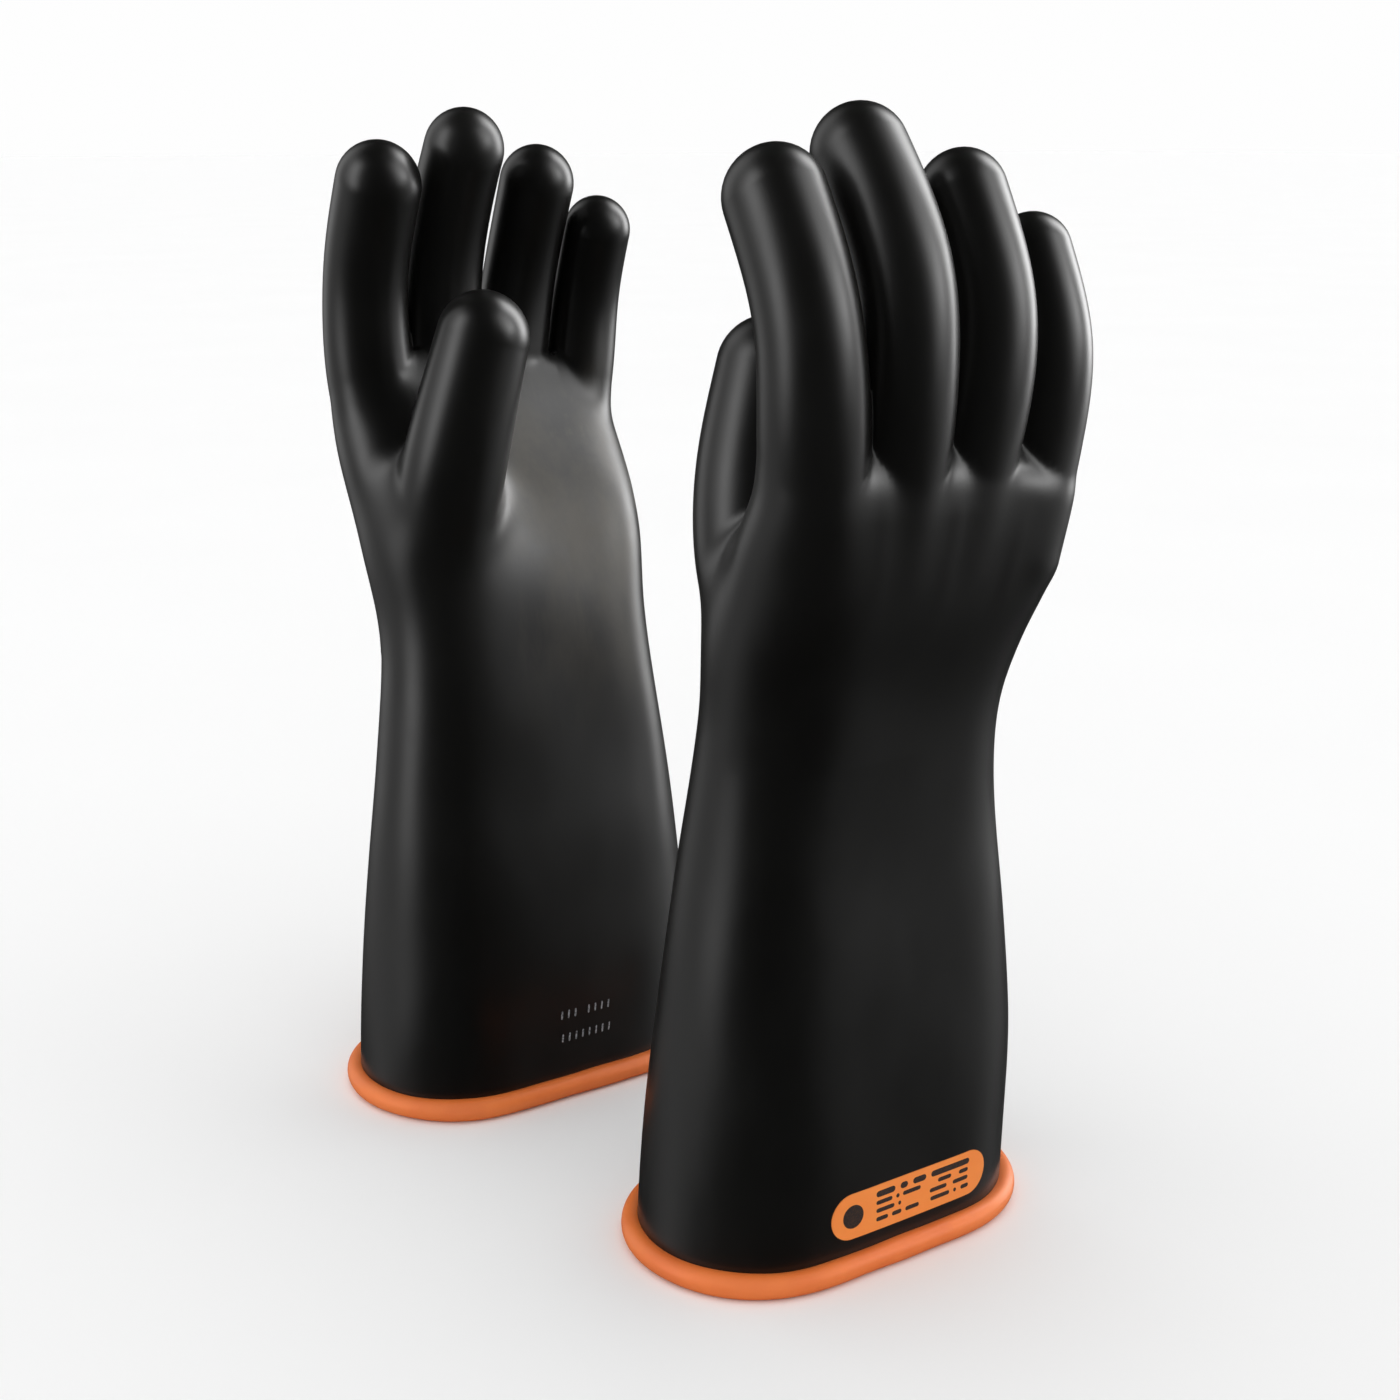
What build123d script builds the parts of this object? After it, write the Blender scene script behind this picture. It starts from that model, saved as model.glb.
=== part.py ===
from build123d import *
import os
from math import radians, tan

os.makedirs("parts", exist_ok=True)

# A pair of dipped rubber insulating gauntlets that stand on their rolled cuffs, fingers up.
# Millimetres, +Z up. Each glove is drawn once, as the right glove in its own frame:
# -X is the thumb side, +Y is the palm, Z is the height above the floor.
# The left glove is its mirror image and stands further back, palm forward.

# Layers, from the outside in
SHELL = 1.2          # black outer dip
BOND = 0.05          # joint line between the two dips
LINER = 2.1          # orange inner dip
WALL = SHELL + BOND + LINER

# Where the two gloves stand
GLOVE_SPACING = 181.0    # cuff centre to cuff centre, front to back
GLOVE_STAGGER = 28.0     # sideways offset of the two cuff centres

# Rolled bead round the cuff edge
BEAD_RADIUS = 4.5
BEAD_OUTSET = 1.5        # bead centreline outside the cuff wall
BEAD_FLAT = 0.1          # how far the rubber bead presses flat where it stands

# Cross-sections of the glove body: height, centre x, centre y, half width, half depth
BODY = [
    (-2, 0.0, 0.0, 76.2, 44.8),
    (24, 0.8, -0.4, 76.0, 44.4),
    (50, 2.2, -0.8, 75.2, 43.6),
    (76, 3.2, -1.3, 73.8, 41.6),
    (102, 3.7, -1.8, 71.3, 38.6),
    (128, 3.9, -2.4, 68.2, 35.0),
    (154, 3.9, -3.2, 64.8, 32.0),
    (180, 4.0, -4.6, 61.6, 30.0),
    (206, 4.4, -8.2, 60.6, 29.6),
    (232, 5.2, -16.6, 63.0, 30.6),
    (258, 5.0, -27.0, 64.4, 28.2),
    (284, 5.2, -35.8, 64.2, 24.0),
    (310, 7.9, -40.5, 63.1, 17.5),
]

# Digits: centreline points from root to tip, radius at each point, height of the bend,
# largest bend towards the palm
DIGITS = {
    "index": (
        [(-38.0, -30.0, 262), (-41.6, -42.0, 302), (-43.0, -41.0, 338), (-43.7, -23.0, 380)],
        [15.0, 17.7, 17.5, 17.2], 331.0, 35.0),
    "middle": (
        [(-9.0, -34.0, 262), (-8.0, -44.8, 305), (-6.0, -42.5, 350), (-6.9, -19.0, 393.4)],
        [14.0, 17.0, 16.8, 16.5], 331.0, 35.0),
    "ring": (
        [(17.0, -36.0, 262), (24.0, -45.0, 302), (30.8, -42.0, 345), (30.8, -27.0, 379.6)],
        [12.0, 15.4, 15.5, 15.5], 328.0, 35.0),
    "little": (
        [(50.0, -34.0, 262), (58.6, -41.0, 300), (61.9, -40.2, 330), (61.5, -29.0, 359.8)],
        [10.0, 14.2, 14.2, 14.0], 319.0, 35.0),
    "thumb": (
        [(-27.0, -9.0, 214), (-30.8, 0.5, 240), (-27.2, 10.5, 281), (-17.8, 15.0, 321.4)],
        [16.0, 21.3, 20.8, 18.6], 284.0, 30.0),
}
THUMB_TILT = 20.0        # slope of the thumb's bend plane, up towards the palm
BEND_MARGIN = 0.5        # clearance kept between rims at full bend

# Wrist bend
WRIST_HEIGHT = 200.0
WRIST_BEND = 20.0
WRIST_BAND = 29.6 * tan(radians(WRIST_BEND / 2)) + BEND_MARGIN

# Marks on the cuff
LABEL_SIZE = (74.0, 18.0)
LABEL_CENTRE = (7.0, 23.5)       # x, height; on the back-of-hand side
LABEL_THICKNESS = 0.4
STAMP_SIZE = (26.0, 14.0)
STAMP_CENTRE = (6.0, 31.0)       # x, height; on the palm side
STAMP_BAR = 2.0
STAMP_THICKNESS = 0.2


def body_form(inset):
    """The glove body from cuff edge to finger roots, shrunk by inset."""
    with BuildPart() as form:
        for height, x, y, half_width, half_depth in BODY:
            top_drop = inset if height == BODY[-1][0] else 0
            with BuildSketch(Plane.XY.offset(height - top_drop)):
                with Locations((x, y)):
                    SlotOverall(2 * (half_width - inset), 2 * (half_depth - inset))
        loft()
    return form.part


def digit_form(name, inset):
    """One digit with a round tip, shrunk by inset."""
    points, radii, _, _ = DIGITS[name]
    with BuildLine():
        path = Spline(*points)
    stops = [path.param_at_point(point) for point in points]
    with BuildPart() as form:
        for stop, radius in zip(stops, radii):
            with BuildSketch(Plane(origin=path @ stop, z_dir=path % stop)):
                Circle(radius - inset)
        loft()
        with Locations(Plane(origin=points[-1], z_dir=path % 1).location):
            Sphere(radii[-1] - inset, arc_size1=0, align=(Align.CENTER, Align.CENTER, Align.MIN))
    return form.part


def bend_plane(name, side):
    """Plane at the lower (-1) or upper (+1) rim of a digit's bend band."""
    points, radii, height, bend = DIGITS[name]
    tilt = THUMB_TILT if name == "thumb" else 0
    reach = radii[2] + (1.5 if name == "thumb" else 0)
    band = reach * tan(radians(bend / 2)) + BEND_MARGIN
    middle = Plane(origin=(0, points[2][1], height)).rotated((-tilt, 0, 0))
    return middle.offset(side * band)


def shell_between(form, outside, inside):
    """Material between two insets of one form."""
    with BuildPart() as wall:
        add(form(outside))
        add(form(inside), mode=Mode.SUBTRACT)
    return wall.part


def cut(piece, *planes):
    """Piece kept on the positive side of every plane."""
    with BuildPart() as kept:
        add(piece)
        for plane in planes:
            split(bisect_by=plane, keep=Keep.TOP)
    return kept.part


def flipped(plane):
    """The same plane facing the other way."""
    return Plane(origin=plane.origin, x_dir=plane.x_dir, z_dir=-plane.z_dir)


def hand_wall(outside, inside):
    """Wall of the hand: body plus digit roots, hollow through to every digit."""
    roots = [cut(digit_form(name, outside), flipped(bend_plane(name, -1))) for name in DIGITS]
    hollows = [digit_form(name, inside) for name in DIGITS]
    with BuildPart() as wall:
        add(body_form(outside))
        for root in roots:
            add(root)
        add(body_form(inside), mode=Mode.SUBTRACT)
        for hollow in hollows:
            add(hollow, mode=Mode.SUBTRACT)
    return wall.part


shell_foot = Plane.XY.offset(2 * BEAD_RADIUS - 0.15)
liner_foot = Plane.XY.offset(1.0)
wrist_low = Plane.XY.offset(WRIST_HEIGHT - WRIST_BAND)
wrist_high = Plane.XY.offset(WRIST_HEIGHT + WRIST_BAND)

pieces = {}

# Gauntlet, wrist and hand, in two layers
body_shell = shell_between(body_form, 0, SHELL)
body_liner = shell_between(body_form, SHELL + BOND, WALL)
body_wall = shell_between(body_form, 0, WALL)
pieces["gauntlet_shell"] = cut(body_shell, shell_foot, flipped(wrist_low))
pieces["gauntlet_liner"] = cut(body_liner, liner_foot, flipped(wrist_low))
pieces["wrist_flex"] = cut(body_wall, wrist_low, flipped(wrist_high))
pieces["hand_shell"] = cut(hand_wall(0, SHELL), wrist_high)
pieces["hand_liner"] = cut(hand_wall(SHELL + BOND, WALL), wrist_high)

# Digits: a bend band at the root and a two-layer finger above it
for name in DIGITS:
    outer = digit_form(name, 0)
    shell_back = digit_form(name, SHELL)
    liner_face = digit_form(name, SHELL + BOND)
    hollow = digit_form(name, WALL)
    with BuildPart() as wall:
        add(outer)
        add(hollow, mode=Mode.SUBTRACT)
    with BuildPart() as shell:
        add(outer)
        add(shell_back, mode=Mode.SUBTRACT)
    with BuildPart() as liner:
        add(liner_face)
        add(hollow, mode=Mode.SUBTRACT)
    pieces[name + "_flex"] = cut(wall.part, bend_plane(name, -1), flipped(bend_plane(name, 1)))
    pieces[name + "_shell"] = cut(shell.part, bend_plane(name, 1))
    pieces[name + "_liner"] = cut(liner.part, bend_plane(name, 1))

# Rolled bead, seated against the liner below the black dip
foot_width, foot_depth = BODY[0][3], BODY[0][4]
with BuildSketch(Plane.XY.offset(BEAD_RADIUS - BEAD_FLAT)) as rim:
    SlotOverall(2 * (foot_width + BEAD_OUTSET), 2 * (foot_depth + BEAD_OUTSET))
bead_path = rim.sketch.wires()[0]
with BuildPart() as bead:
    with BuildSketch(Plane(origin=bead_path @ 0, z_dir=bead_path % 0)):
        Circle(BEAD_RADIUS)
    sweep(path=bead_path)
    split(bisect_by=Plane.XY, keep=Keep.TOP)
    add(body_form(SHELL), mode=Mode.SUBTRACT)
pieces["cuff_bead"] = bead.part

# Size label on the back of the cuff, and a faint two-line stamp on its palm side
label_skin = shell_between(body_form, -BOND - LABEL_THICKNESS, -BOND)
with BuildPart() as label:
    with BuildSketch(Plane.XZ):
        with Locations(LABEL_CENTRE):
            SlotOverall(*LABEL_SIZE)
    extrude(amount=80)
    add(label_skin, mode=Mode.INTERSECT)
pieces["size_label"] = label.part

stamp_skin = shell_between(body_form, -BOND - STAMP_THICKNESS, -BOND)
with BuildPart() as stamp:
    with BuildSketch(Plane.XZ):
        with Locations(STAMP_CENTRE):
            with GridLocations(0, STAMP_SIZE[1] - STAMP_BAR, 1, 2):
                Rectangle(STAMP_SIZE[0], STAMP_BAR)
            with GridLocations((STAMP_SIZE[0] - STAMP_BAR) / 4, 0, 5, 1):
                Rectangle(STAMP_BAR, STAMP_SIZE[1])
    extrude(amount=-80)
    add(stamp_skin, mode=Mode.INTERSECT)
pieces["palm_stamp"] = stamp.part

# Stand the pair: the right glove in front, the left one mirrored behind it
for name, piece in pieces.items():
    with BuildPart() as right:
        with Locations((GLOVE_STAGGER / 2, -GLOVE_SPACING / 2)):
            add(piece)
    right.part.label = "right_" + name
    export_step(right.part, "parts/right_" + name + ".step")
    with BuildPart() as left:
        mirror(objects=piece, about=Plane.XZ)
    with BuildPart() as placed:
        with Locations((-GLOVE_STAGGER / 2, GLOVE_SPACING / 2)):
            add(left.part)
    placed.part.label = "left_" + name
    export_step(placed.part, "parts/left_" + name + ".step")
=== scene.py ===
import math

import bpy
import numpy as np
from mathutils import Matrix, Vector


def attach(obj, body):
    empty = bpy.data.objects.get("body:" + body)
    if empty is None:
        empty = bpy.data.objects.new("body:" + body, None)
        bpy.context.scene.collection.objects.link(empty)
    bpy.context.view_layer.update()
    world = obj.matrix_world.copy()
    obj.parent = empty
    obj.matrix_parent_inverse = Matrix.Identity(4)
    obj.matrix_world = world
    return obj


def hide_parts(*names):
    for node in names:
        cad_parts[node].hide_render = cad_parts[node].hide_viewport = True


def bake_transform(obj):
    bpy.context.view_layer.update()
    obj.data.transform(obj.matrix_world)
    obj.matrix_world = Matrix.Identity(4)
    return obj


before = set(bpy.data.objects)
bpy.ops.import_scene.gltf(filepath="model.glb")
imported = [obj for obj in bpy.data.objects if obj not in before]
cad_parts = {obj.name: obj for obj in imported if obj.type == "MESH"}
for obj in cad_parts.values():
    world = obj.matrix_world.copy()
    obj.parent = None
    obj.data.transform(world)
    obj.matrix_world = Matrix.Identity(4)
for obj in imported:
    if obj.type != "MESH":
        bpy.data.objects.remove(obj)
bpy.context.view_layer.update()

# All glove shapes are worked out in millimetres, in the right glove's own frame:
# -x is the thumb side, +y the palm, z the height above the floor.

# Layers, from the outside in
SHELL = 1.2         # black outer dip
BOND = 0.05         # joint line between the two dips
WALL = 3.35         # both dips

# Fineness of the meshes: cell of the hand's mesh, points round a digit, spacing of its rings
CELL, AROUND, RING_PITCH = ((2.0, 64, 1.6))

# Box that the hand's mesh is worked out in: all of a glove but the ends of its fingers
NET_LOW = (-88, -68, -14)
NET_HIGH = (94, 60, 346)

# Where each glove stands (cuff centre x, y) and whether it is mirrored front to back
GLOVES = {
    "right": (14.0, -90.5, 1.0),
    "left": (-14.0, 90.5, -1.0),
}

# Height of the wrist: above it the hand's skin is left out near the digits
WRIST = 200.0
HAND_FROM = 190.0   # below this height the glove is the body alone

# Heights where the two skins end at the cuff: the black one stops above the bead
BLACK_FOOT = 6.2
ORANGE_FOOT = 3.0

# Rolled bead round the cuff edge
BEAD_RADIUS = 4.5
BEAD_HEIGHT = 4.4   # of its centre, a little pressed down
BEAD_OUTSET = 1.5   # of its centre from the cuff wall

# Cross-sections of the body: height, centre x, centre y, half width, half depth. The first row keeps
# the cuff straight down to the floor, and the last ones thin the hand's top out between the fingers.
BODY = np.array([
    (-28, 0.0, 0.0, 76.2, 44.8),
    (-2, 0.0, 0.0, 76.2, 44.8),
    (24, 0.8, -0.4, 76.0, 44.4),
    (50, 2.2, -0.8, 75.2, 43.6),
    (76, 3.2, -1.3, 73.8, 41.6),
    (102, 3.7, -1.8, 71.3, 38.6),
    (128, 3.9, -2.4, 68.2, 35.0),
    (154, 3.9, -3.2, 64.8, 32.0),
    (180, 4.0, -4.6, 61.6, 30.0),
    (206, 4.4, -8.2, 60.6, 29.6),
    (232, 5.2, -16.6, 63.0, 30.6),
    (258, 5.0, -27.0, 64.4, 28.2),
    (284, 5.2, -36.1, 64.2, 21.3),
    (297, 6.1, -38.2, 62.8, 16.5),
    (310, 6.8, -35.2, 61.2, 8.0),
    (336, 7.4, -31.0, 60.0, 4.0),
])
FACE_CROWN = 26.0       # how widely the flat faces turn into the round sides
TOP = 318.0             # height of the rounded top, on the middle finger's line
TOP_ROUNDING = 34.0
CROWN_MIDDLE = -14.0    # x of the middle finger's line
CROWN_BEND = 0.0022     # how fast the top of the hand falls away from that line
MOST_FALL = 14.0        # limit of that fall for the cross-sections
KNUCKLES = (250, 292)   # heights over which the cross-sections follow the fall

# Each digit: centreline root to tip, radius along it, height of its bend, tilt of the bend plane
DIGITS = {
    "index": ([(-38.0, -38.0, 262), (-41.6, -42.0, 302), (-43.0, -41.0, 338), (-43.7, -23.0, 380)],
              [16.0, 17.9, 17.5, 17.2], 331.0, 0.0),
    "middle": ([(-9.0, -39.5, 262), (-8.0, -44.8, 305), (-6.0, -42.5, 350), (-6.9, -19.0, 393.4)],
               [15.0, 17.2, 16.8, 16.5], 331.0, 0.0),
    "ring": ([(18.0, -40.0, 262), (24.6, -44.6, 302), (31.0, -42.0, 345), (30.8, -27.0, 379.6)],
             [14.0, 15.9, 15.6, 15.5], 328.0, 0.0),
    "little": ([(49.5, -41.0, 258), (57.6, -40.4, 300), (61.0, -39.8, 330), (61.4, -29.0, 359.8)],
               [14.8, 15.4, 14.9, 14.1], 319.0, 0.0),
    "thumb": ([(-26.0, -14.0, 212), (-30.5, -3.0, 240), (-28.0, 8.8, 281), (-18.6, 13.6, 321.4)],
              [16.0, 20.4, 20.8, 18.6], 284.0, 20.0),
}
NAMES = list(DIGITS)

# Each digit comes out of the hand's skin at CUT from its bend plane. The hand's
# skin laps over it up to LAP above the cut, and the digit goes on for HIDDEN below the cut.
CUT = {name: -7.0 if name == "thumb" else -12.0 for name in NAMES}
LAP = 2.4
HIDDEN = 5.0

# Beyond the lap the hand's skin is left out this near to a digit, and the orange one stops lower
LEFT_OUT = {"black": 1.6, "orange": 2.4}
LINER_SHORT = 3.0
SHARPEST_FOLD = 0.3     # least cosine between a face's corner normals for the liner to follow it


class Spline:
    """Natural cubic through the rows of y at the knots x."""

    def __init__(self, x, y):
        self.x = np.asarray(x, float)
        self.y = np.asarray(y, float).reshape(len(x), -1)
        h = np.diff(self.x)
        n = len(h)
        a = np.eye(n + 1)
        r = np.zeros((n + 1, self.y.shape[1]))
        slope = np.diff(self.y, axis=0) / h[:, None]
        for i in range(1, n):
            a[i, i - 1:i + 2] = h[i - 1], 2 * (h[i - 1] + h[i]), h[i]
            r[i] = 6 * (slope[i] - slope[i - 1])
        self.h = h
        self.m = np.linalg.solve(a, r)

    def __call__(self, t):
        t = np.clip(np.asarray(t, float), self.x[0], self.x[-1])
        i = np.clip(np.searchsorted(self.x, t) - 1, 0, len(self.h) - 1)
        h = self.h[i][:, None]
        u = (self.x[i + 1] - t)[:, None]
        v = (t - self.x[i])[:, None]
        return ((self.m[i] * u**3 + self.m[i + 1] * v**3) / (6 * h)
                + (self.y[i] / h - self.m[i] * h / 6) * u
                + (self.y[i + 1] / h - self.m[i + 1] * h / 6) * v)


body_curve = Spline(BODY[:, 0], BODY[:, 1:])


def digit_curve(points, radii):
    """Centreline and radius of a digit by the length along it, and the whole length."""
    p = np.array(points, float)
    s = np.concatenate([[0], np.cumsum(np.linalg.norm(np.diff(p, axis=0), axis=1))])
    return Spline(s, np.column_stack([p, radii])), s[-1]


CURVES = {name: digit_curve(d[0], d[1]) for name, d in DIGITS.items()}


def smooth_max(a, b, k):
    """The greater of two values, rounded over where they differ by less than k."""
    h = np.maximum(k - np.abs(a - b), 0) / k
    return np.maximum(a, b) + h**3 * k / 6


def smooth_min(a, b, k):
    return -smooth_max(-a, -b, k)


def step(lo, hi, x):
    """Smooth step from 0 at lo to 1 at hi."""
    t = np.clip((x - lo) / (hi - lo), 0, 1)
    return t * t * (3 - 2 * t)


def crown(x):
    """How far the top of the hand falls away to each side of the middle finger."""
    return CROWN_BEND * (x - CROWN_MIDDLE) ** 2


def from_middle(x, cx, half_width, half_depth):
    """Distance across from the flat part of a cross-section, eased at its ends."""
    return smooth_max(np.abs(x - cx) - (half_width - half_depth), np.zeros_like(x), FACE_CROWN)


def body_distance(p):
    """Flattened oval tube with slightly crowned faces and a rounded top: distance, side normal."""
    x, y, z = p.T
    fall = crown(x)
    section = z + np.minimum(fall, MOST_FALL) * step(*KNUCKLES, z)
    cx, cy, half_width, half_depth = body_curve(section).T
    side = from_middle(x, cx, half_width, half_depth)
    reach = np.maximum(np.hypot(side, y - cy), 0.01)
    d = smooth_max(reach - half_depth, z + fall - TOP, TOP_ROUNDING)
    normal = np.column_stack([np.sign(x - cx) * side / reach, (y - cy) / reach, np.zeros_like(x)])
    return d, normal


CHUNK = 60000       # points looked at together


def digit_distance(p, name):
    """Distance to a round digit with a round tip, and the direction away from its centreline."""
    curve, length = CURVES[name]
    s = np.linspace(0, length, 28)
    c = curve(s)[:, :3]
    best = np.zeros(len(p))
    # Nearest of a few stops on the centreline, then two Newton steps along it
    for i in range(0, len(p), CHUNK):
        q = p[i:i + CHUNK]
        best[i:i + CHUNK] = s[((q[:, None, :] - c[None]) ** 2).sum(2).argmin(1)]
    e = 0.5
    for _ in range(2):
        c0, c1, c2 = curve(best - e)[:, :3], curve(best)[:, :3], curve(best + e)[:, :3]
        v = (c2 - c0) / (2 * e)
        a = (c2 - 2 * c1 + c0) / e**2
        r = c1 - p
        g = (r * v).sum(1)
        h = (v * v).sum(1) + (r * a).sum(1)
        best = np.clip(best - np.clip(g / np.maximum(h, 0.3), -3, 3), 0, length)
    c = curve(best)
    away = p - c[:, :3]
    reach = np.maximum(np.linalg.norm(away, axis=1), 0.01)
    return reach - c[:, 3], away / reach[:, None]


# Height of the web between neighbouring fingers; it slopes up from the back of the hand to the palm
WEBS = {("index", "middle"): 308.0, ("middle", "ring"): 306.0, ("ring", "little"): 296.0}
WEB_SLOPE = 0.9
WEB_BACK = -43.0            # y at which a web has the height above
WEB_REACH = (-25, 3)        # how far the slope goes on behind and in front of that y

# Fillets of the unions: full width below the first height, fading to nearly none at the second
WEB_FILLET, WEB_FADE = 19.0, (-16, 8)           # heights measured from the web
KNUCKLE_FILLET, KNUCKLE_FADE = 24.0, (292, 318)
THUMB_FILLET, THUMB_FADE = 55.0, (220, 300)
THUMB_SLOPE = 0.36          # how the thumb's heights fall towards the palm, from y = THUMB_BACK
THUMB_BACK = -10.0

# Slow waves of the dipped surface
WAVE_COUNT = 14
LONGEST_WAVE = 85
WAVE_HEIGHT = 0.09
rng = np.random.default_rng(7)
WAVES = rng.normal(size=(WAVE_COUNT, 3))
WAVES /= np.linalg.norm(WAVES, axis=1)[:, None]
LENGTHS = rng.uniform(26, LONGEST_WAVE, WAVE_COUNT)
PHASES = {"right": rng.uniform(0, 6.3, WAVE_COUNT), "left": rng.uniform(0, 6.3, WAVE_COUNT)}


def unevenness(p, side):
    """Slow waviness of the dipped surface."""
    w = (p @ WAVES.T) * (2 * math.pi / LENGTHS) + PHASES[side]
    return (np.sin(w) * LENGTHS / LONGEST_WAVE).sum(1) * WAVE_HEIGHT


def joined_distance(a, na, b, nb, k, least):
    """Smooth union that fills corners between two forms but adds little where they lie flush."""
    turn = least + (1 - least) * step(0, 1.1, 1 - (na * nb).sum(1))
    return smooth_min(a, b, k * turn)


def hand_distance(q, body, body_normal):
    """The hand above the wrist: body, finger roots with their webs, and the thumb."""
    z = q[:, 2]
    level = z + 0.5 * crown(q[:, 0]) - WEB_SLOPE * np.clip(q[:, 1] - WEB_BACK, *WEB_REACH)
    fingers, normal = digit_distance(q, "index")
    last = "index"
    for name in ("middle", "ring", "little"):
        d, n = digit_distance(q, name)
        web = WEBS[(last, name)]
        k = 0.6 + WEB_FILLET * (1 - step(web + WEB_FADE[0], web + WEB_FADE[1], level))
        share = step(-6, 6, fingers - d)[:, None]
        fingers = smooth_min(fingers, d, k)
        normal = normal * (1 - share) + n * share
        last = name
    k = 0.05 + KNUCKLE_FILLET * (1 - step(*KNUCKLE_FADE, level))
    part = joined_distance(body, body_normal, fingers, normal, k, least=0.3)
    thumb, thumb_normal = digit_distance(q, "thumb")
    lift = z + THUMB_SLOPE * (q[:, 1] - THUMB_BACK)
    k = 0.05 + THUMB_FILLET * (1 - step(*THUMB_FADE, lift))
    return joined_distance(part, body_normal, thumb, thumb_normal, k, least=0.45)


def glove_distance(p, side):
    """Distance of points to the glove's outer surface, inside negative."""
    body, normal = body_distance(p)
    d = body.copy()
    high = p[:, 2] > HAND_FROM
    d[high] = hand_distance(p[high], body[high], normal[high])
    return d - unevenness(p, side)


def finger_distance(p, side, name):
    """The same for one digit alone."""
    return digit_distance(p, name)[0] - unevenness(p, side)


def gradient(p, side, field=glove_distance, *more):
    """Slope of a distance field, by central differences."""
    e = 0.05
    g = np.empty_like(p)
    for i in range(3):
        a, b = p.copy(), p.copy()
        a[:, i] += e
        b[:, i] -= e
        g[:, i] = (field(a, side, *more) - field(b, side, *more)) / (2 * e)
    return g


def project(p, side, rounds=2, field=glove_distance, *more):
    """Points moved onto the surface of a distance field."""
    for _ in range(rounds):
        g = gradient(p, side, field, *more)
        d = field(p, side, *more)
        p = p - g * np.clip(d / np.maximum((g * g).sum(1), 0.2), -3, 3)[:, None]
    return p


def surface_net(lo, hi, cell, side):
    """Quad mesh of the glove's outer surface, from its distance on a grid of cells."""
    axes = [np.arange(lo[i], hi[i] + cell, cell) for i in range(3)]
    n = [len(a) for a in axes]
    grid = np.stack(np.meshgrid(*axes, indexing="ij"), -1).reshape(-1, 3)
    f = glove_distance(grid, side).reshape(n)
    inside = f < 0
    total = np.zeros([m - 1 for m in n] + [3])
    count = np.zeros([m - 1 for m in n])
    quads = []
    edges = []
    # Each grid edge that crosses the surface gives its crossing point to the four cells round it
    for axis in range(3):
        a = [slice(None)] * 3
        b = [slice(None)] * 3
        a[axis], b[axis] = slice(None, -1), slice(1, None)
        cross = inside[tuple(a)] != inside[tuple(b)]
        at = np.argwhere(cross)
        fa = f[tuple(a)][cross]
        fb = f[tuple(b)][cross]
        t = fa / (fa - fb)
        pos = np.stack([axes[i][at[:, i]] for i in range(3)], 1)
        pos[:, axis] += t * cell
        others = [i for i in range(3) if i != axis]
        cells = []
        for du, dv in ((0, 0), (-1, 0), (-1, -1), (0, -1)):
            c = at.copy()
            c[:, others[0]] += du
            c[:, others[1]] += dv
            cells.append(c)
        ok = np.ones(len(at), bool)
        for c in cells:
            ok &= ((c >= 0) & (c < np.array(n) - 1)).all(1)
        for c in cells:
            c = c[ok]
            np.add.at(total, tuple(c.T), pos[ok])
            np.add.at(count, tuple(c.T), 1)
        flip = (fa < 0)[ok] ^ (axis == 1)
        edges.append(([c[ok] for c in cells], flip))
    # A cell's vertex is the mean of its crossings, and an edge's four cells make one quad
    used = count > 0
    index = -np.ones(count.shape, int)
    index[used] = np.arange(used.sum())
    verts = total[used] / count[used][:, None]
    for cells, flip in edges:
        q = np.stack([index[tuple(c.T)] for c in cells], 1)
        q[~flip] = q[~flip][:, ::-1]
        quads.append(q)
    return verts, np.concatenate(quads)


def relax(verts, quads, side, rounds):
    """Evens out the quads along the surface."""
    n = len(verts)
    for _ in range(rounds):
        total = np.zeros_like(verts)
        count = np.zeros(n)
        for i in range(4):
            for j in (1, 3):
                np.add.at(total, quads[:, i], verts[quads[:, (i + j) % 4]])
                np.add.at(count, quads[:, i], 1)
        verts = verts + 0.5 * (total / count[:, None] - verts)
        verts = project(verts, side, 1)
    return verts


def material(name, build):
    """New material whose nodes are laid out by build(tree, shader)."""
    m = bpy.data.materials.new(name)
    m.use_nodes = True
    tree = m.node_tree
    tree.nodes.clear()
    out = tree.nodes.new("ShaderNodeOutputMaterial")
    shader = tree.nodes.new("ShaderNodeBsdfPrincipled")
    tree.links.new(shader.outputs[0], out.inputs[0])
    build(tree, shader)
    return m


def noise(tree, scale, detail, rough, stretch=(1, 1, 1), offset=(0, 0, 0)):
    """Noise over object coordinates."""
    place = tree.nodes.new("ShaderNodeTexCoord")
    mapping = tree.nodes.new("ShaderNodeMapping")
    mapping.inputs["Scale"].default_value = stretch
    mapping.inputs["Location"].default_value = offset
    n = tree.nodes.new("ShaderNodeTexNoise")
    n.inputs["Scale"].default_value = scale
    n.inputs["Detail"].default_value = detail
    n.inputs["Roughness"].default_value = rough
    tree.links.new(place.outputs["Object"], mapping.inputs["Vector"])
    tree.links.new(mapping.outputs[0], n.inputs["Vector"])
    return n.outputs["Fac"]


def ranged(tree, value, a, b, lo, hi):
    """A value between a and b, remapped to lo..hi."""
    r = tree.nodes.new("ShaderNodeMapRange")
    r.inputs["From Min"].default_value = a
    r.inputs["From Max"].default_value = b
    r.inputs["To Min"].default_value = lo
    r.inputs["To Max"].default_value = hi
    tree.links.new(value, r.inputs["Value"])
    return r.outputs[0]


def mixed(tree, factor, a, b):
    """Colour between a and b."""
    m = tree.nodes.new("ShaderNodeMix")
    m.data_type = "RGBA"
    tree.links.new(factor, m.inputs["Factor"])
    m.inputs["A"].default_value = (*a, 1)
    m.inputs["B"].default_value = (*b, 1)
    return m.outputs["Result"]


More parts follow.
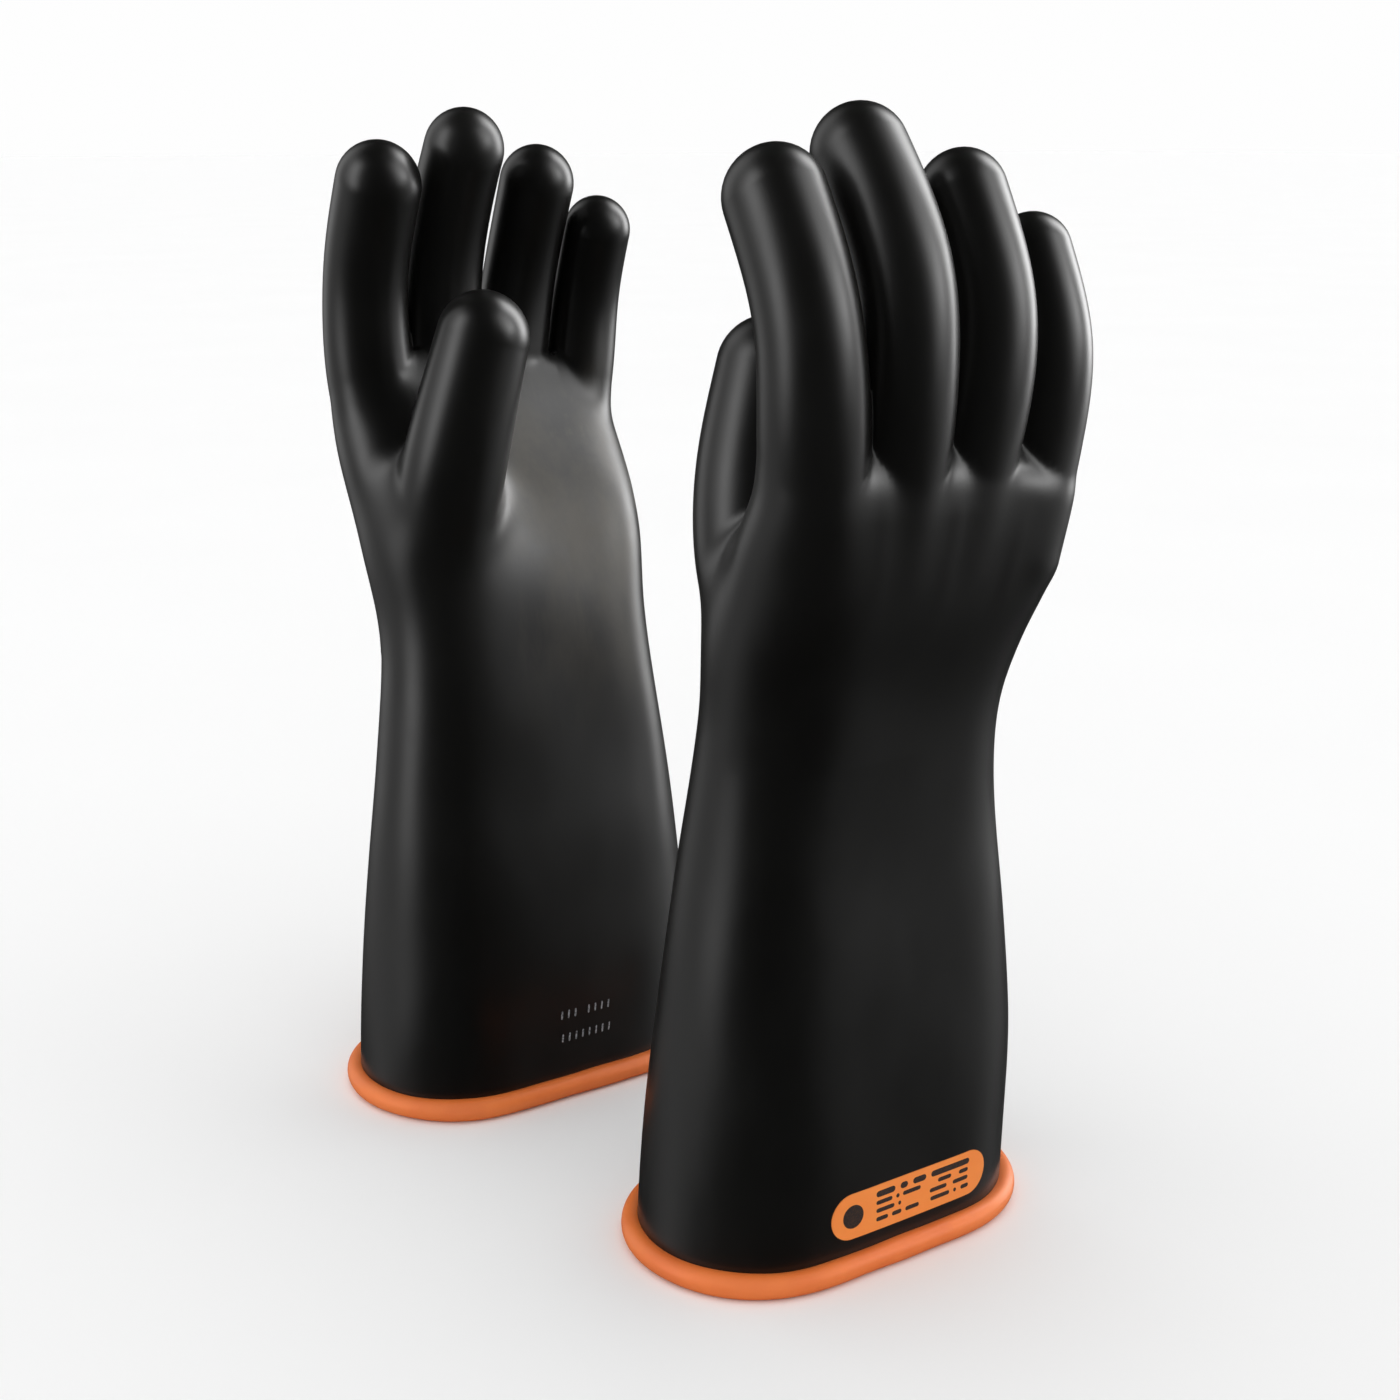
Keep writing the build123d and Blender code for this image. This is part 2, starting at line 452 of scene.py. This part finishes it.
def maths(tree, kind, a, b):
    m = tree.nodes.new("ShaderNodeMath")
    m.operation = kind
    for socket, v in zip(m.inputs, (a, b)):
        if isinstance(v, (int, float)):
            socket.default_value = v
        else:
            tree.links.new(v, socket)
    return m.outputs[0]


def bump(tree, shader, height, strength, distance):
    b = tree.nodes.new("ShaderNodeBump")
    b.inputs["Strength"].default_value = strength
    b.inputs["Distance"].default_value = distance
    tree.links.new(height, b.inputs["Height"])
    tree.links.new(b.outputs[0], shader.inputs["Normal"])


# Where the powder haze of the palm fades in, in the glove's frame: x, y, and z from below and above
HAZE_X = (-22, 2)
HAZE_Y = (-32, -12)
HAZE_LOW = (150, 235)
HAZE_HIGH = (325, 295)


def palm_area(tree, side):
    """1 over the palm of one glove, fading out round it."""
    x, y, sign = GLOVES[side]
    place = tree.nodes.new("ShaderNodeTexCoord")
    parts = tree.nodes.new("ShaderNodeSeparateXYZ")
    tree.links.new(place.outputs["Object"], parts.inputs[0])

    def fade(axis, offset, way, ends):
        start, end = [(offset + v * way) / 1000 for v in ends]
        return ranged(tree, parts.outputs[axis], start, end, 0, 1)

    front = fade("Y", y, sign, HAZE_Y)
    low = fade("Z", 0, 1, HAZE_LOW)
    high = fade("Z", 0, 1, HAZE_HIGH)
    beside = fade("X", x, 1, HAZE_X)
    across = maths(tree, "MULTIPLY", front, beside)
    upright = maths(tree, "MULTIPLY", low, high)
    return maths(tree, "MULTIPLY", across, upright)


def black_rubber(side, offset):
    """Satin black dip, cloudy, with a brown-grey powder haze over the palm."""
    def build(tree, shader):
        cloud = noise(tree, 14, 4, 0.6, (1, 1, 0.45), offset)
        fine = noise(tree, 900, 3, 0.6)
        dust = noise(tree, 60, 5, 0.65, (1, 1, 0.6), offset)
        patches = ranged(tree, noise(tree, 24, 5, 0.62, (1, 1, 0.5), offset), 0.42, 0.64, 0, 1)
        streaks = ranged(tree, noise(tree, 70, 4, 0.7, (1, 1, 0.16), offset), 0.50, 0.68, 0, 0.7)
        blotches = maths(tree, "MAXIMUM", patches, streaks)
        powder = maths(tree, "MULTIPLY", palm_area(tree, side), blotches)
        dark = mixed(tree, ranged(tree, cloud, 0.35, 0.7, 0, 1),
                     (0.0030, 0.0028, 0.0025), (0.0050, 0.0048, 0.0043))
        tint = tree.nodes.new("ShaderNodeMix")
        tint.data_type = "RGBA"
        tree.links.new(powder, tint.inputs["Factor"])
        tree.links.new(dark, tint.inputs["A"])
        tint.inputs["B"].default_value = (0.042, 0.036, 0.026, 1)
        tree.links.new(tint.outputs["Result"], shader.inputs["Base Color"])
        haze = maths(tree, "ADD", ranged(tree, cloud, 0.3, 0.7, 0.31, 0.37),
                     ranged(tree, dust, 0.35, 0.75, -0.02, 0.04))
        haze = maths(tree, "ADD", haze, maths(tree, "MULTIPLY", powder, 0.12))
        tree.links.new(haze, shader.inputs["Roughness"])
        shader.inputs["Specular IOR Level"].default_value = 0.5
        height = maths(tree, "ADD", maths(tree, "MULTIPLY", fine, 0.25), dust)
        bump(tree, shader, height, 0.12, 0.0004)
    return build


def orange_rubber(pale, deep):
    """Matte orange dip between two shades."""
    def build(tree, shader):
        cloud = noise(tree, 45, 4, 0.6)
        fine = noise(tree, 700, 3, 0.6)
        tree.links.new(mixed(tree, ranged(tree, cloud, 0.35, 0.7, 0, 1), deep, pale),
                       shader.inputs["Base Color"])
        tree.links.new(ranged(tree, cloud, 0.3, 0.7, 0.42, 0.52), shader.inputs["Roughness"])
        shader.inputs["Subsurface Weight"].default_value = 0.06
        shader.inputs["Subsurface Scale"].default_value = 0.003
        height = maths(tree, "ADD", cloud, maths(tree, "MULTIPLY", fine, 0.3))
        bump(tree, shader, height, 0.15, 0.0003)
    return build


def ink(colour, wear):
    """Printed ink, speckled where it is worn."""
    def build(tree, shader):
        cloud = noise(tree, 1500, 3, 0.7)
        tree.links.new(mixed(tree, ranged(tree, cloud, 0.45, 0.62, 0, 1), colour, wear),
                       shader.inputs["Base Color"])
        shader.inputs["Roughness"].default_value = 0.55
        bump(tree, shader, cloud, 0.1, 0.0001)
    return build


BLACK = {side: material("black_rubber_" + side, black_rubber(side, shift))
         for side, shift in (("right", (0.3, 0.1, 0.0)), ("left", (1.7, 0.4, 0.9)))}
ORANGE = material("orange_rubber", orange_rubber((0.80, 0.20, 0.045), (0.70, 0.155, 0.03)))
BEAD = material("bead_rubber", orange_rubber((0.84, 0.205, 0.04), (0.76, 0.165, 0.03)))
LABEL = material("label_rubber", orange_rubber((0.93, 0.27, 0.045), (0.87, 0.235, 0.035)))
LABEL_INK = material("label_ink", ink((0.02, 0.012, 0.01), (0.05, 0.022, 0.012)))
STAMP_INK = material("stamp_ink", ink((0.30, 0.31, 0.33), (0.06, 0.06, 0.065)))


def placed(p, side):
    """Glove-frame millimetres to metres in the shared frame."""
    ox, oy, s = GLOVES[side]
    return np.column_stack([p[:, 0] + ox, p[:, 1] * s + oy, p[:, 2]]) * 0.001


def add_mesh(name, verts, faces, normals, mat, side):
    """Mesh piece from glove-frame points, with its own smooth normals."""
    if GLOVES[side][2] < 0:
        faces = [f[::-1] for f in faces]
        normals = normals * np.array([1, -1, 1])
    mesh = bpy.data.meshes.new(name)
    mesh.from_pydata(placed(verts, side).tolist(), [], [list(map(int, f)) for f in faces])
    mesh.polygons.foreach_set("use_smooth", [True] * len(mesh.polygons))
    mesh.normals_split_custom_set_from_vertices(normals.tolist())
    mesh.materials.append(mat)
    o = bpy.data.objects.new(name, mesh)
    bpy.context.collection.objects.link(o)
    return o


def shell(name, verts, normals, quads, outside, inside, mat, side):
    """Closed skin between two depths below the given surface."""
    used, flat = np.unique(quads, return_inverse=True)
    q = flat.reshape(quads.shape)
    v, n = verts[used], normals[used]
    m = len(v)
    edges = np.concatenate([q[:, [i, (i + 1) % 4]] for i in range(4)])
    key = edges[:, 0] * m + edges[:, 1]
    back = edges[:, 1] * m + edges[:, 0]
    rim = edges[~np.isin(key, back)]
    sides = np.column_stack([rim[:, 1], rim[:, 0], rim[:, 0] + m, rim[:, 1] + m])
    faces = np.concatenate([q, q[:, ::-1] + m, sides])
    points = np.concatenate([v - n * outside, v - n * inside])
    return add_mesh(name, points, faces.tolist(), np.concatenate([n, -n]), mat, side)


def digit_offset(p, name):
    """Height above a digit's bend plane, measured across the plane."""
    points, _, height, tilt = DIGITS[name]
    tilt = math.radians(tilt)
    return (p[:, 2] - height) * math.cos(tilt) + (p[:, 1] - points[2][1]) * math.sin(tilt)


def digit_tube(name, side, around, pitch):
    """Quads of one digit from just below its cut to its round tip, and the surface normals."""
    curve, length = CURVES[name]
    s = np.linspace(0, length, 400)
    start = s[np.argmax(digit_offset(curve(s)[:, :3], name) > CUT[name] - HIDDEN)]
    stops = np.linspace(start, length, int((length - start) / pitch) + 1)
    phi = np.linspace(0, 2 * math.pi, around, endpoint=False)
    rings = []
    for stop in stops:
        c = curve([stop])[0]
        middle = stop if stop < length - 0.31 else length - 0.3
        t = (curve([middle + 0.3]) - curve([middle - 0.3]))[0, :3]
        t /= np.linalg.norm(t)
        u = np.cross((0, 1, 0), t)
        u /= np.linalg.norm(u)
        v = np.cross(t, u)
        spoke = np.cos(phi)[:, None] * u + np.sin(phi)[:, None] * v
        rings.append(c[:3] + c[3] * spoke)
    tip_rings = 13
    for i in range(1, tip_rings):
        a = 0.5 * math.pi * i / tip_rings
        rings.append(c[:3] + c[3] * (math.cos(a) * spoke + math.sin(a) * t))
    p = np.concatenate(rings + [(c[:3] + c[3] * t)[None]])
    p = project(p, side, 2, finger_distance, name)
    n = gradient(p, side, finger_distance, name)
    n /= np.linalg.norm(n, axis=1)[:, None]
    i, j = np.meshgrid(np.arange(len(rings) - 1), np.arange(around), indexing="ij")
    k = (j + 1) % around
    low, high = i * around, (i + 1) * around
    quads = np.stack([low + j, low + k, high + k, high + j], -1)
    last, tip = (len(rings) - 1) * around, len(p) - 1
    cap = [[last + j, last + (j + 1) % around, tip] for j in range(around)]
    return p, n, quads.reshape(-1, 4), cap


def digit_skin(piece_name, side, tube, outside, inside, mat):
    """Closed skin of one digit between two depths below its surface."""
    p, n, quads, cap = tube
    m = len(p)
    around = len(cap)
    points = np.concatenate([p - n * outside, p - n * inside])
    faces = quads.tolist() + cap
    faces += [[i + m for i in f[::-1]] for f in quads.tolist() + cap]
    faces += [[(j + 1) % around, j, j + m, (j + 1) % around + m] for j in range(around)]
    return add_mesh(piece_name, points, faces, np.concatenate([n, -n]), mat, side)


def build_glove(side, base, quads):
    """Both skins of one glove: gauntlet with hand as one piece, and each digit."""
    verts = project(base, side, 2)
    g = gradient(verts, side)
    normals = g / np.linalg.norm(g, axis=1)[:, None]
    gone = {layer: np.zeros(len(verts), bool) for layer in LEFT_OUT}
    near = verts[:, 2] > WRIST
    for name in NAMES:
        d = digit_distance(verts[near], name)[0]
        beyond = digit_offset(verts[near], name) - CUT[name] - LAP
        gone["black"][near] |= (d < LEFT_OUT["black"]) & (beyond > 0)
        gone["orange"][near] |= (d < LEFT_OUT["orange"]) & (beyond > -LINER_SHORT)
    corners = normals[quads]
    spread = (corners * np.roll(corners, 1, 1)).sum(2).min(1)
    tubes = {name: digit_tube(name, side, AROUND, RING_PITCH) for name in NAMES}
    layers = (
        ("black", "shell", 0.0, SHELL, BLACK[side], "black_rubber", BLACK_FOOT),
        ("orange", "liner", SHELL + BOND, WALL, ORANGE, "orange_rubber", ORANGE_FOOT),
    )
    for layer, node, outside, inside, mat, slot, foot in layers:
        keep = ~(verts[quads][:, :, 2] < foot + 0.01).any(1)
        hand = keep & ~gone[layer][quads].any(1)
        if layer == "orange":
            hand &= spread > SHARPEST_FOLD
        v = verts.copy()
        # The lowest row of points comes down to the level foot
        rim = np.zeros(len(v), bool)
        rim[quads[hand].ravel()] = True
        dropped = np.zeros(len(v), bool)
        dropped[quads[~keep].ravel()] = True
        v[rim & dropped, 2] = foot
        glove = shell(f"{side}_glove_{layer}", v, normals, quads[hand], outside, inside, mat, side)
        glove_nodes = [f"{side}_gauntlet_{node}", f"{side}_hand_{node}"]
        if layer == "black":
            glove_nodes.append(f"{side}_wrist_flex")
        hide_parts(*glove_nodes)
        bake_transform(glove)
        for name in NAMES:
            piece = digit_skin(f"{side}_{name}_{layer}", side, tubes[name], outside, inside, mat)
            nodes = [f"{side}_{name}_{node}"]
            if layer == "black":
                nodes.append(f"{side}_{name}_flex")
            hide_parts(*nodes)
            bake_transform(piece)


def build_bead(side):
    """Rolled cuff edge: a thick round bead, pressed flat where it stands."""
    around, section = 300, 30
    angle = np.linspace(0, 2 * math.pi, around, endpoint=False)
    direction = np.column_stack([np.cos(angle), np.sin(angle), np.zeros(around)])
    # Halving finds the bead's centreline, at its distance outside the cuff wall
    lo, hi = np.full(around, 20.0), np.full(around, 120.0)
    for _ in range(40):
        mid = (lo + hi) / 2
        p = direction * mid[:, None] + np.array([0, 0, BEAD_HEIGHT])
        outside = body_distance(p)[0] > BEAD_OUTSET
        hi = np.where(outside, mid, hi)
        lo = np.where(outside, lo, mid)
    ring = direction * lo[:, None]
    ahead, behind = np.roll(ring, -1, 0), np.roll(ring, 1, 0)
    t = ahead - behind
    out = np.column_stack([t[:, 1], -t[:, 0], np.zeros(around)])
    out /= np.linalg.norm(out, axis=1)[:, None]
    phase = PHASES[side]
    wobble = 0.10 * np.sin(5 * angle + phase[0]) + 0.07 * np.sin(11 * angle + phase[1])
    phi = np.linspace(0, 2 * math.pi, section, endpoint=False)
    radius = BEAD_RADIUS + wobble[:, None]
    r = radius * np.cos(phi)[None, :]
    z = BEAD_HEIGHT + radius * np.sin(phi)[None, :]
    p = ring[:, None, :] + out[:, None, :] * r[:, :, None]
    p[:, :, 2] = np.maximum(z, 0.0)
    n = out[:, None, :] * np.cos(phi)[None, :, None]
    n[:, :, 2] = np.sin(phi)[None, :]
    i, j = np.meshgrid(np.arange(around), np.arange(section), indexing="ij")
    this, following = i * section, (i + 1) % around * section
    up = (j + 1) % section
    faces = np.stack([this + j, following + j, following + up, this + up], -1).reshape(-1, 4)
    bead = add_mesh(f"{side}_cuff_bead_roll", p.reshape(-1, 3), faces.tolist(),
                    n.reshape(-1, 3), BEAD, side)
    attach(bead, f"{side}_gauntlet")
    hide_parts(f"{side}_cuff_bead")


# Faces of the cuff, as the sign of y
BACK, PALM = -1, 1


def on_cuff(x, z, face, side):
    """Points of the cuff's surface at x, z on one face, and the surface normals."""
    cx, cy, half_width, half_depth = body_curve(z).T
    s = from_middle(x, cx, half_width, half_depth)
    y = cy + face * np.sqrt(np.maximum(half_depth**2 - s**2, 1.0))
    p = np.column_stack([x, y, z])
    p = project(p, side, 2)
    g = gradient(p, side)
    return p, g / np.linalg.norm(g, axis=1)[:, None]


def pad(centre, straight, radius, low, lift, face, side, turn=0.0, around=64):
    """Closed pill-shaped pad on the cuff, its edge rounded over: points, faces, normals.

    Its sides go straight for the length straight to each side of its centre, and its ends are
    round. It reaches from low to lift above the surface.
    """
    edge = min(0.45, radius * 0.5)
    rise = lift - low
    # The side, the rounded edge and the flat top, as inset from the outline and height
    steps = [(0.0, low), (0.0, lift - rise * 0.55), (0.10 * edge, lift - rise * 0.2),
             (0.45 * edge, lift - 0.02), (edge, lift)]
    inner = max(1, int((radius - edge) / 1.2))
    steps += [(edge + (radius - edge) * k / (inner + 0.02), lift) for k in range(1, inner + 1)]
    # A quarter of the points goes along each straight side, so that it follows the curved cuff
    a = np.linspace(0, 2 * math.pi, around, endpoint=False)
    end = np.where(np.cos(a) >= 0, 1, -1)
    top = np.where(a < math.pi, 1, -1)
    fold = np.abs(a % math.pi - math.pi / 2)
    flat = math.pi / 4 if straight > 0 else 0.001
    lean = np.clip(fold - flat, 0, None) / (1 - 2 * flat / math.pi)
    middle = straight * end * np.clip(fold / flat, 0, 1)
    out = np.column_stack([end * np.sin(lean), top * np.cos(lean)])
    u = np.concatenate([middle + (radius - inset) * out[:, 0] for inset, _ in steps])
    v = np.concatenate([(radius - inset) * out[:, 1] for inset, _ in steps])
    height = np.repeat([height for _, height in steps], around)
    c, s = math.cos(turn), math.sin(turn)
    p, n = on_cuff(centre[0] + u * c - v * s, centre[1] + u * s + v * c, face, side)
    faces = []
    for k in range(len(steps) - 1):
        this, following = k * around, (k + 1) * around
        for i in range(around):
            j = (i + 1) % around
            faces.append([this + i, this + j, following + j, following + i])
    last = (len(steps) - 1) * around
    under = len(u)
    for k in range(around // 2 - 1):
        far, near = around - 2 - k, around - 1 - k
        faces.append([last + k, last + k + 1, last + far, last + near])
    for k in range(around // 2 - 1):
        far, near = around - 2 - k, around - 1 - k
        faces.append([under + near, under + far, under + k + 1, under + k])
    if face > 0:
        faces = [f[::-1] for f in faces]
    points = np.concatenate([p + n * height[:, None], p[:around] + n[:around] * low])
    return points, faces, np.concatenate([n, -n[:around]])


def joined(name, parts, mat, side):
    """One mesh of several pads, riding on the gauntlet."""
    points, faces, normals, count = [], [], [], 0
    for p, f, m in parts:
        points.append(p)
        normals.append(m)
        faces += [[i + count for i in g] for g in f]
        count += len(p)
    o = add_mesh(name, np.concatenate(points), faces, np.concatenate(normals), mat, side)
    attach(o, f"{side}_gauntlet")
    return o


# Label. A depth is the height of underside and top above the cuff.
LABEL_CENTRE = (7.0, 23.5)
LABEL_STRAIGHT = 28.0       # half length of its straight sides
LABEL_RADIUS = 9.0
LABEL_DEPTH = (-0.3, 0.45)
DOT_PLACE = -27.5           # along the label
DOT_RADIUS = 4.6
PRINT_DEPTH = (0.42, 0.50)

# Rows of dashes on the label: height, half thickness, then start and length of each dash
PRINT_ROWS = (
    (5.4, 1.25, (-17, 9.0), (-5.6, 3.6), (0.4, 6.4), (9.2, 19.0)),
    (2.0, 0.85, (-17, 7.6), (-7.6, 1.6), (-4.4, 8.6), (12.6, 6.6), (23.0, 4.6)),
    (-1.2, 0.85, (-17, 8.6), (-6.6, 1.4), (8.6, 8.4), (20.0, 7.6)),
    (-4.6, 0.85, (-17, 5.6), (-9.6, 4.6), (-3.2, 6.6), (9.0, 9.4), (20.4, 1.4), (24.0, 4.0)),
)

# Two rows of upright strokes on the palm side, with a gap in the upper row
STAMP_ROWS = (36.5, 26.0)
STAMP_START = -6.0
STAMP_SPACING = 3.3
STAMP_STROKES = 8
STAMP_GAP = (0, 3)      # row and stroke left out
STROKE_HALF = 1.9
STROKE_RADIUS = 0.42
STROKE_TURN = 1.45      # from lying along x, so nearly upright
STROKE_DEPTH = (-0.05, 0.05)


def build_marks(side):
    """Label with its print on the back of the cuff, and the stamp on its palm side."""
    plate = pad(LABEL_CENTRE, LABEL_STRAIGHT, LABEL_RADIUS, *LABEL_DEPTH, BACK, side, around=160)
    label = joined(f"{side}_label", [plate], LABEL, side)
    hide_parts(f"{side}_size_label")
    x0, z0 = LABEL_CENTRE
    prints = [pad((x0 + DOT_PLACE, z0), 0.0, DOT_RADIUS, *PRINT_DEPTH, BACK, side, around=40)]
    for v, half, *dashes in PRINT_ROWS:
        for start, length in dashes:
            centre = (x0 + start + length / 2, z0 + v)
            prints.append(pad(centre, length / 2 - half, half, *PRINT_DEPTH, BACK, side, around=20))
    marks = joined(f"{side}_label_marks", prints, LABEL_INK, side)
    strokes = []
    for row, z in enumerate(STAMP_ROWS):
        for k in range(STAMP_STROKES):
            if (row, k) == STAMP_GAP:
                continue
            centre = (STAMP_START + k * STAMP_SPACING, z)
            strokes.append(pad(centre, STROKE_HALF - STROKE_RADIUS, STROKE_RADIUS, *STROKE_DEPTH,
                               PALM, side, turn=STROKE_TURN, around=12))
    stamp = joined(f"{side}_stamp", strokes, STAMP_INK, side)
    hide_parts(f"{side}_palm_stamp")


# Both gloves start from one even mesh; each is then moved onto its own surface
base, quads = surface_net(NET_LOW, NET_HIGH, CELL, "right")
base = relax(base, quads, "right", 3)
for side in GLOVES:
    build_glove(side, base, quads)
    build_bead(side)
    build_marks(side)

# Studio: wide pale floor under an even white sky, with soft bright panels for the rubber to mirror
FLOOR = 40.0
floor_mesh = bpy.data.meshes.new("floor")
corners = [(-FLOOR, -FLOOR, 0), (FLOOR, -FLOOR, 0), (FLOOR, FLOOR, 0), (-FLOOR, FLOOR, 0)]
floor_mesh.from_pydata(corners, [], [(0, 1, 2, 3)])
floor = bpy.data.objects.new("floor", floor_mesh)
bpy.context.collection.objects.link(floor)


def floor_paint(tree, shader):
    """Even off-white."""
    cloud = ranged(tree, noise(tree, 3, 2, 0.5), 0.3, 0.7, 0, 1)
    colour = mixed(tree, cloud, (0.925, 0.925, 0.925), (0.935, 0.935, 0.935))
    tree.links.new(colour, shader.inputs["Base Color"])
    shader.inputs["Roughness"].default_value = 0.9
    shader.inputs["Specular IOR Level"].default_value = 0.1


floor_mesh.materials.append(material("floor_paint", floor_paint))

# Camera: place, heading to the right of +Y, dip of its view, and lens
CAMERA = Vector((-0.4153, -0.6353, 0.3986))
HEADING = 0.6
DIP = 0.2751
SENSOR = 36.0
FOCAL = SENSOR * 10 / 7

# Soft panels of the studio as the rubber mirrors them. Azimuth is measured to the right of the
# direction opposite to PANEL_HEADING, which is that of the camera; then elevation, half width,
# half height, feather, all in degrees, and brightness.
PANEL_HEADING = 0.5997
PANELS = (
    (-61, 20, 11, 27, 9, 3.6),
    (-82, 28, 12, 24, 14, 1.4),
    (-92, -22, 14, 26, 26, 0.65),
    (77, 27, 12, 22, 15, 4.3),
    (86, 19, 7, 9, 6, 5.0),
    (104, -4, 22, 30, 24, 0.5),
    (126, 24, 12, 29, 9, 8.5),
    (-125, 20, 16, 32, 14, 1.2),
)


def direction(azimuth, elevation):
    """Way from the gloves towards a panel."""
    a = PANEL_HEADING + math.pi - math.radians(azimuth)
    e = math.radians(elevation)
    return Vector((math.sin(a) * math.cos(e), math.cos(a) * math.cos(e), math.sin(e)))


def along(tree, vector, axis):
    """Part of a vector that lies along an axis."""
    n = tree.nodes.new("ShaderNodeVectorMath")
    n.operation = "DOT_PRODUCT"
    tree.links.new(vector, n.inputs[0])
    n.inputs[1].default_value = axis
    return n.outputs["Value"]


def feathered(tree, value, half, feather):
    """1 within the half angle, falling softly to 0 outside it."""
    r = tree.nodes.new("ShaderNodeMapRange")
    r.interpolation_type = "SMOOTHSTEP"
    r.inputs["From Min"].default_value = math.sin(math.radians(half + feather))
    r.inputs["From Max"].default_value = math.sin(math.radians(half - feather))
    tree.links.new(maths(tree, "ABSOLUTE", value, 0), r.inputs["Value"])
    return r.outputs[0]


GLOW = 0.01             # what the rubber mirrors between the panels
SKY = 1.06              # even light on everything
SEEN_LESS = 0.07        # how much darker the sky itself looks


def studio_world():
    """Even white light, and the panels for mirrored rays only."""
    world = bpy.data.worlds.new("studio")
    world.use_nodes = True
    world.cycles.sampling_method = "NONE"
    tree = world.node_tree
    way = tree.nodes.new("ShaderNodeTexCoord").outputs["Generated"]
    glow = GLOW
    for azimuth, elevation, half_width, half_height, feather, power in PANELS:
        front = direction(azimuth, elevation)
        across = Vector((0, 0, 1)).cross(front).normalized()
        upward = front.cross(across)
        wide = feathered(tree, along(tree, way, across), half_width, feather)
        tall = feathered(tree, along(tree, way, upward), half_height, feather)
        panel = maths(tree, "MULTIPLY", wide, tall)
        facing = maths(tree, "GREATER_THAN", along(tree, way, front), 0.0)
        panel = maths(tree, "MULTIPLY", maths(tree, "MULTIPLY", panel, facing), power)
        glow = maths(tree, "ADD", panel, glow)
    path = tree.nodes.new("ShaderNodeLightPath")
    glossy = path.outputs["Is Glossy Ray"]
    mirrored = maths(tree, "MULTIPLY", glossy, glow)
    sky = maths(tree, "MULTIPLY", maths(tree, "SUBTRACT", 1.0, glossy), SKY)
    dimming = maths(tree, "MULTIPLY", path.outputs["Is Camera Ray"], SEEN_LESS)
    sky = maths(tree, "SUBTRACT", sky, dimming)
    background = tree.nodes["Background"]
    background.inputs["Color"].default_value = (1, 1, 1, 1)
    tree.links.new(maths(tree, "ADD", mirrored, sky), background.inputs["Strength"])
    return world


bpy.context.scene.world = studio_world()
floor.visible_glossy = False

cam_data = bpy.data.cameras.new("camera")
cam_data.lens = FOCAL
cam_data.sensor_width = SENSOR
cam_data.clip_start = 0.01
cam = bpy.data.objects.new("camera", cam_data)
cam.location = CAMERA
level = math.cos(DIP)
view = Vector((math.sin(HEADING) * level, math.cos(HEADING) * level, -math.sin(DIP)))
cam.rotation_euler = view.to_track_quat("-Z", "Y").to_euler()
bpy.context.collection.objects.link(cam)
bpy.context.scene.camera = cam
bpy.context.scene.view_settings.view_transform = "Standard"
